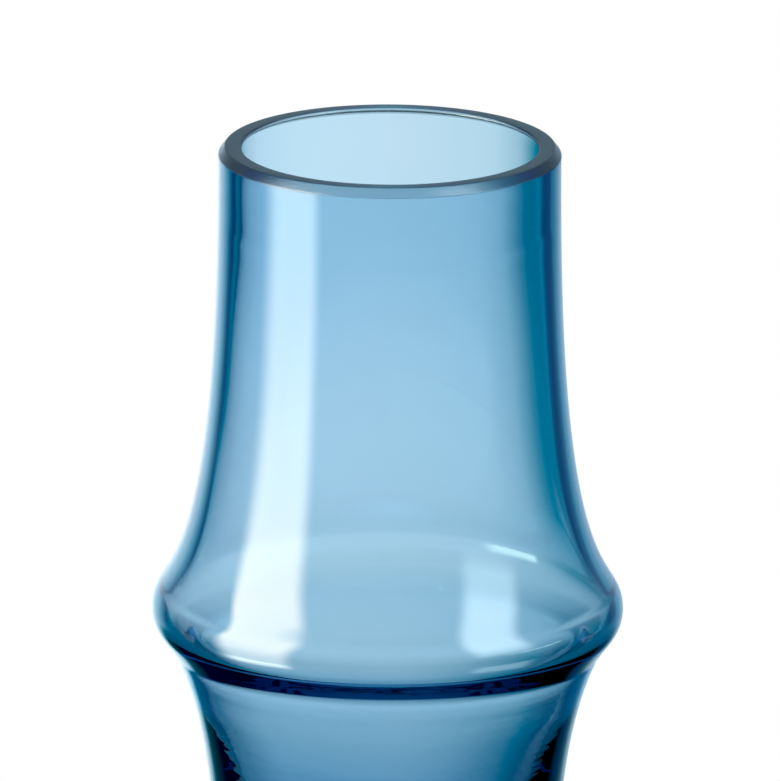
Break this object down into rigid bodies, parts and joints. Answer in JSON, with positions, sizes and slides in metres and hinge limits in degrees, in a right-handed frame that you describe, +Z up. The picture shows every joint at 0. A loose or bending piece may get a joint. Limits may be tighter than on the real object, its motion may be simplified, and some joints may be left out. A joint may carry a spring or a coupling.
{
  "type": "vase",
  "caption": "Tall round blue glass vase with a bulging ring half way up, flared walls above and below it, and a flat ground rim.",
  "frame": {"origin": "centre of the foot, on the surface that the vase stands on", "axes": "+Z up along the vase's axis; the vase is round, so X and Y are alike"},
  "size_m": [0.1106, 0.1106, 0.22],
  "materials": {
    "blue_glass": "clear, coloured right through; the cut rim is ground matt"
  },
  "bodies": {
    "root": {"glass_body": "blue_glass"}
  },
  "joints": []
}
